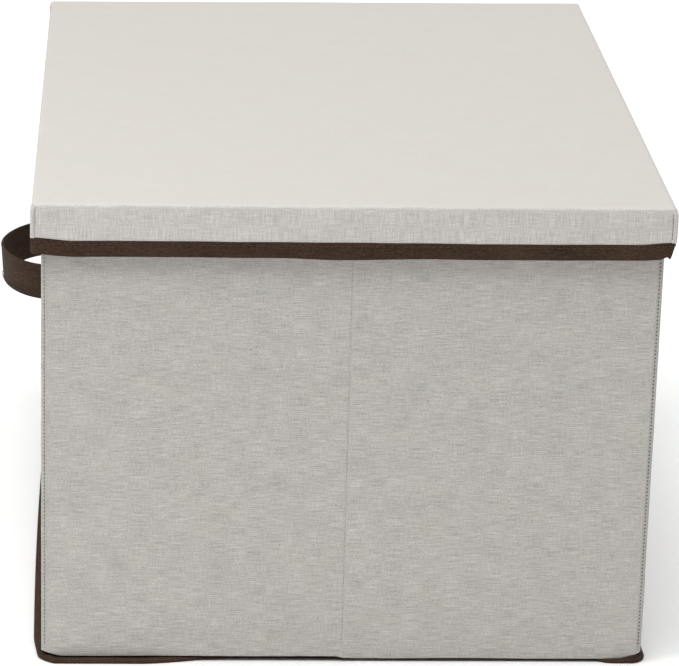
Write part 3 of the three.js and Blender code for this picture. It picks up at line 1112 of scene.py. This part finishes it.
def hem_shape(points):
    """The hem follows the lid. Along the front it sags in the middle, rises at both ends and
    curls in at the right corner."""
    flat = np.array(points, float)
    x, y, z = flat[..., 0], flat[..., 1], flat[..., 2]
    on_front = smooth_step(-y, LID_Y - 14, LID_Y - 4)
    low = smooth_step(HEM_HIGH - z, 1.0, HEM_HIGH - HEM_LOW - 1.0)
    left_end = 1 - smooth_step(x, -LID_X, -LID_X + 28)
    right_end = smooth_step(x, LID_X - 24, LID_X - 2)
    between = (1 - left_end) * (1 - right_end)
    lift = HEM_LIFT_LEFT * left_end * (1 - 0.4 * low) + HEM_LIFT_RIGHT * right_end * (1 - 0.9 * low)
    lift = lift - HEM_DIP * bump(x, 95, 55)
    lift = lift - low * between * (HEM_SAG + HEM_SAG_MIDDLE * bump(x, -5, 26))
    lift = lift + low * HEM_NOTCH * bump(x, LID_X - 5.6, 1.8)
    flat[..., 2] += on_front * lift
    flat[..., 0] -= on_front * low * HEM_CURL * smooth_step(x, LID_X - 3.6, LID_X + 0.3)
    return lid_shape(flat)


def hem_section():
    """Section of the bound hem, as (out from the hem's face, up): a tape folded round the edge."""
    inner = -(HEM_X - extent("lid_lining")[1][0]) - 0.5
    return (
        (-1.0, HEM_HIGH + 0.1), (0.05, HEM_HIGH - 0.1), (0.35, HEM_HIGH - 1.4), (0.15, HEM_HIGH - 2.6),
        (0.40, HEM_HIGH - 5.5), (0.45, HEM_LOW + 1.6), (-0.2, HEM_LOW + 0.1), (-1.8, HEM_LOW - 0.1),
        (inner + 0.6, HEM_LOW + 0.2), (inner, HEM_LOW + 1.6), (inner, HEM_HIGH - 1.0),
        (inner + 0.8, HEM_HIGH - 0.6), (inner + 1.0, HEM_LOW + 2.4), (-1.4, HEM_LOW + 2.4),
    )


def lid_hem():
    """The dark bound hem round the lower edge of the skirt, with its stitches."""
    section = hem_section()
    points, outwards = outline(HEM_X, HEM_Y, 2.6, 2.5)
    grid = hem_shape([
        [(*(place + outward * out), up) for out, up in section]
        for place, outward in zip(points, outwards)
    ])
    around_lid = lengths_along(grid[:, 4], ring=True)
    girth = girth_along(section)
    piece = add_band("lid_hem_tape", grid, weave_of(around_lid, girth), ring=True)
    settle(piece, "lid", ["lid_hem"])
    line = np.column_stack([points + outwards * 0.25, np.full(len(points), HEM_HIGH - 2.4)])
    directions = np.column_stack([outwards, np.zeros(len(outwards))])
    closed = [(hem_shape(np.vstack([line, line[:1]])), np.vstack([directions, directions[:1]]))]
    sew("lid_hem_stitches", closed, DARK_THREAD, "brown_binding", "lid", thick=0.3)


def lid_corner(end, side, side_x, side_y):
    """The folded seam down each corner of the skirt: a narrow soft ridge and a dark line, which is the
    fold's painted shadow.
    """
    name = f"lid_{end}_{side}_corner"
    reach, thread = (2.1, 0.34) if side_x > 0 else (1.6, 0.16)
    start = {(1, -1): 0.9, (-1, -1): 1.8}.get((side_x, side_y), 0.1)
    proud = 0.4
    profile = rounded(np.array([
        (reach, 0.2), (reach - 0.2, -proud * 0.8), (reach * 0.5, -proud), (-proud * 0.6, -proud * 0.7),
        (-proud, reach * 0.5), (-proud * 0.8, 8.4), (0.2, 8.8),
    ]))
    rows = spaced(HEM_HIGH + start, LID_TOP - 1.6, 1.5)
    taper = 0.9 * smooth_step(rows, LID_TOP - 4.5, LID_TOP - 0.5)[:, None]
    x = side_x * (LID_X - (profile[:, 0] + taper))
    y = side_y * (LID_Y - (profile[:, 1] + taper))
    grid = np.stack([x, y, np.broadcast_to(rows[:, None], x.shape)], axis=2)
    path = lengths_along(profile)
    piece = corner_sheet(name, lid_shape(grid), rows, path, side_x * side_y > 0, LINEN_LID)
    settle(piece, "lid")
    up = spaced(HEM_HIGH + 2.6, LID_TOP - 3, 2)
    line = lid_shape(upright(side_x * (LID_X - reach - 0.25), side_y * (LID_Y + 0.02), up))
    # Close-set dark stitches: the fold's painted shadow line.
    sew(f"{name}_seam", [(line, (0, side_y, 0))], SEAM_SHADOW_THREAD, "linen_cloth", "lid",
        thick=thread, length=3.6, pitch=2.6)


def make_lid():
    lid_cloth()
    lid_inner_cloth()
    for part in ("top", "left", "right", "front", "back"):
        lid_stiffener(part)
    lid_hem()
    for corner in CORNERS:
        lid_corner(*corner)


# ---- bottom board
def bottom_board_cloth():
    """Lining cloth wrapped over the loose bottom board."""
    low, high = extent("bottom_board_cover")
    grid, *weaves = cap_grid(high[0], high[1], low[2] + 0.1, high[2], edge=1.2, corner=2.0,
                             spacing=20.0, skirt_step=1.0, inset_step=16.0)
    on_top = smooth_step(grid[..., 2], high[2] - 0.6, high[2])
    grid[..., 2] -= on_top * 0.12 * (1 + ripple(grid[..., 0], grid[..., 1], 21, 110))
    piece = cap_sheet("bottom_board_cloth", grid, *weaves, THIN_CLOTH, INNER)
    settle(piece, "left_wall", ["bottom_board_cover"])


# ---- handles
STRAP_LOW, STRAP_HIGH = heights("left_handle_strap")
STRAP_HALF_SPAN = extent("left_handle_strap")[1][1] - 0.9
STRAP_REACH = {"left": 34.4, "right": 31.5}
STRAP_ROUND = 1.8        # how round the loop is: 2 is an ellipse, and less is flatter at the sides
STRAP_LIFT = 1.9         # how much higher the cloth strap sits than its CAD strap
STRAP_MIDDLE = (STRAP_LOW + STRAP_HIGH) / 2 + STRAP_LIFT
STRAP_HALF = (STRAP_HIGH - STRAP_LOW) / 2 + 0.4
TAB_END = extent("left_handle_back_tab")[1][1]
TAB_OUT = 0.95
# One half of the strap's section, as (place along its width, thickness): rolled edges, a groove
# for the stitches and a slightly thicker middle.
STRAP_EDGE = (
    (-1.0, 0.35), (-0.985, 0.75), (-0.93, 1.0), (-0.86, 0.98), (-0.80, 0.72), (-0.74, 0.80), (-0.4, 0.86),
)


def strap_path(side):
    """The strap's line in plan, as (out from the wall, along it towards the back)."""
    power = 2 / STRAP_ROUND
    loop = []
    for angle in np.linspace(0, math.pi, 61)[3:-3]:
        out = STRAP_REACH[side] * math.sin(angle) ** power
        along = math.copysign(abs(math.cos(angle)) ** power, math.cos(angle))
        if out > 4.5:
            loop.append((out, STRAP_HALF_SPAN * along))
    near = STRAP_HALF_SPAN + 0.6
    first = [(TAB_OUT, TAB_END), (TAB_OUT, near + 6), (TAB_OUT, near + 2.2), (TAB_OUT + 1.0, near)]
    last = [(out, -along) for out, along in reversed(first)]
    return resampled(rounded(np.array(first + loop + last)), 150)


def strap_section():
    """Section across the strap, as (along its width from -1 to 1, thickness outwards)."""
    half = [(width, 0.95 * thick) for width, thick in STRAP_EDGE]
    outer = half + [(0.0, 0.95 * 0.88)] + [(-width, thick) for width, thick in reversed(half)]
    return outer + [(width, -thick) for width, thick in reversed(outer)]


def bend_at_wall(piece, side, sign):
    """Bakes the piece's transform between its wall and its handle; it is not bent or attached to either
    body.
    """
    across(piece, f"{side}_wall", f"{side}_handle",
           (sign * (HALF_WIDTH + 2.2), 0), (sign * (HALF_WIDTH + 9.0), 0))


def strap(side):
    """A strap handle with folded edges, flat on the wall at both ends and looped between them."""
    sign = -1 if side == "left" else 1
    path = strap_path(side)
    step = np.gradient(path, axis=0)
    step = step / np.linalg.norm(step, axis=1, keepdims=True)
    centre = np.column_stack([sign * (HALF_WIDTH + path[:, 0]), path[:, 1]])
    outward = np.column_stack([-sign * step[:, 1], step[:, 0]])
    along = lengths_along(path)
    share = along / along[-1]
    droop = -0.2 * np.sin(share * math.pi) ** 2
    lean = -0.8 * np.sin(share * math.pi)
    width, thick = np.array(strap_section()).T
    out = thick - lean[:, None] * width
    up = STRAP_MIDDLE + STRAP_HALF * width + droop[:, None]
    grid = np.dstack([centre[:, None] + outward[:, None] * out[..., None], up])
    piece = add_band(f"{side}_handle_tape", grid, weave_of(along, girth_along(grid[0])))
    bend_at_wall(piece, side, sign)
    nodes = [f"{side}_handle_{part}" for part in ("strap", "front_tab", "back_tab")]
    settle(piece, nodes=nodes)
    loop_stitches(side, sign, centre, outward, droop)
    end_stitches(side, sign)


def loop_stitches(side, sign, centre, outward, droop):
    """A row along each edge of the loop."""
    rows = []
    for width in (-0.79, 0.79):
        line = np.column_stack([centre + outward * 0.75, STRAP_MIDDLE + STRAP_HALF * width + droop])
        rows.append((line, np.column_stack([outward, np.zeros(len(outward))])))
    sewn = stitches(f"{side}_handle_edge_stitches", rows, DARK_THREAD, thick=0.28)
    bend_at_wall(sewn, side, sign)
    settle(sewn)


def end_stitches(side, sign):
    """A crossed box on each sewn end."""
    rows = []
    x = sign * (HALF_WIDTH + TAB_OUT + 0.9)
    low, high = STRAP_MIDDLE - STRAP_HALF * 0.7, STRAP_MIDDLE + STRAP_HALF * 0.7
    for end in (-1, 1):
        near, far = end * (STRAP_HALF_SPAN + 5), end * (TAB_END - 3)
        for start, stop in (
            ((near, low), (near, high)), ((far, low), (far, high)),
            ((near, low), (far, high)), ((near, high), (far, low)),
        ):
            rows.append(([(x, *start), (x, *stop)], (sign, 0, 0)))
    sew(f"{side}_handle_end_stitches", rows, DARK_THREAD, "brown_binding", f"{side}_wall",
        thick=0.3, length=2.4, pitch=3.4)


# ---- putting together
for wall_name in ("front", "back"):
    end_wall_cloth(wall_name)
    fold_lining(wall_name)
    fold_stitches(wall_name)
for wall_name in ("left", "right"):
    side_wall_cloth(wall_name)
    strap(wall_name)
make_panels()
for corner_place in CORNERS:
    corner_ridge(*corner_place)
base_cloth()
base_binding()
bottom_board_cloth()
make_lid()

for node_name, node_object in frame["nodes"].items():
    if node_name.endswith("_board"):
        node_object.data.materials.clear()
        node_object.data.materials.append(BOARD)


# ---- floor and light
FLOOR_HALF = 14.0        # in metres, as the lights' places are
WORLD_STRENGTH = 0.18


def make_floor():
    mesh = bpy.data.meshes.new("floor")
    half = FLOOR_HALF
    ring = [(-half, -half, 0), (half, -half, 0), (half, half, 0), (-half, half, 0)]
    mesh.from_pydata(ring, [], [(0, 1, 2, 3)])
    paint = Finish("floor", on_cloth=False)
    paint.fill(paint.shader, Base_Color=(0.92, 0.92, 0.915, 1), Roughness=0.9, Specular_IOR_Level=0.1)
    mesh.materials.append(paint.material)
    add_to_scene("floor", mesh)


def make_world():
    world = bpy.data.worlds.new("studio")
    bpy.context.scene.world = world
    world.use_nodes = True
    background = next(n for n in world.node_tree.nodes if n.type == "BACKGROUND")
    background.inputs["Color"].default_value = (1.0, 1.0, 1.0, 1)
    background.inputs["Strength"].default_value = WORLD_STRENGTH


def aim(light, source):
    """Turns a light so that it shines from source towards the bin."""
    light.rotation_mode = "QUATERNION"
    light.rotation_quaternion = Vector(source).to_track_quat("Z", "Y")


def make_sun(strength, spread, from_left, from_front):
    """A soft light from overhead, leaning by degrees from the left and from the front."""
    data = bpy.data.lights.new("overhead_softbox", "SUN")
    data.energy = strength
    data.angle = math.radians(spread)
    lean_x, lean_y = math.tan(math.radians(from_left)), math.tan(math.radians(from_front))
    aim(add_to_scene("overhead_softbox", data), (-lean_x, -lean_y, 1.0))


def make_softbox(power, place, size):
    """A square light to the front left of the bin, aimed at it."""
    data = bpy.data.lights.new("near_softbox", "AREA")
    data.energy = power
    data.size = size
    light = add_to_scene("near_softbox", data)
    light.location = place
    aim(light, place)
    light.visible_camera = False


make_floor()
make_world()
make_sun(strength=3.22, spread=54, from_left=4, from_front=7)
make_softbox(power=3.7, place=(-0.80, -0.78, 1.00), size=0.40)
bpy.context.scene.view_settings.view_transform = "Standard"
bpy.context.scene.view_settings.look = "None"
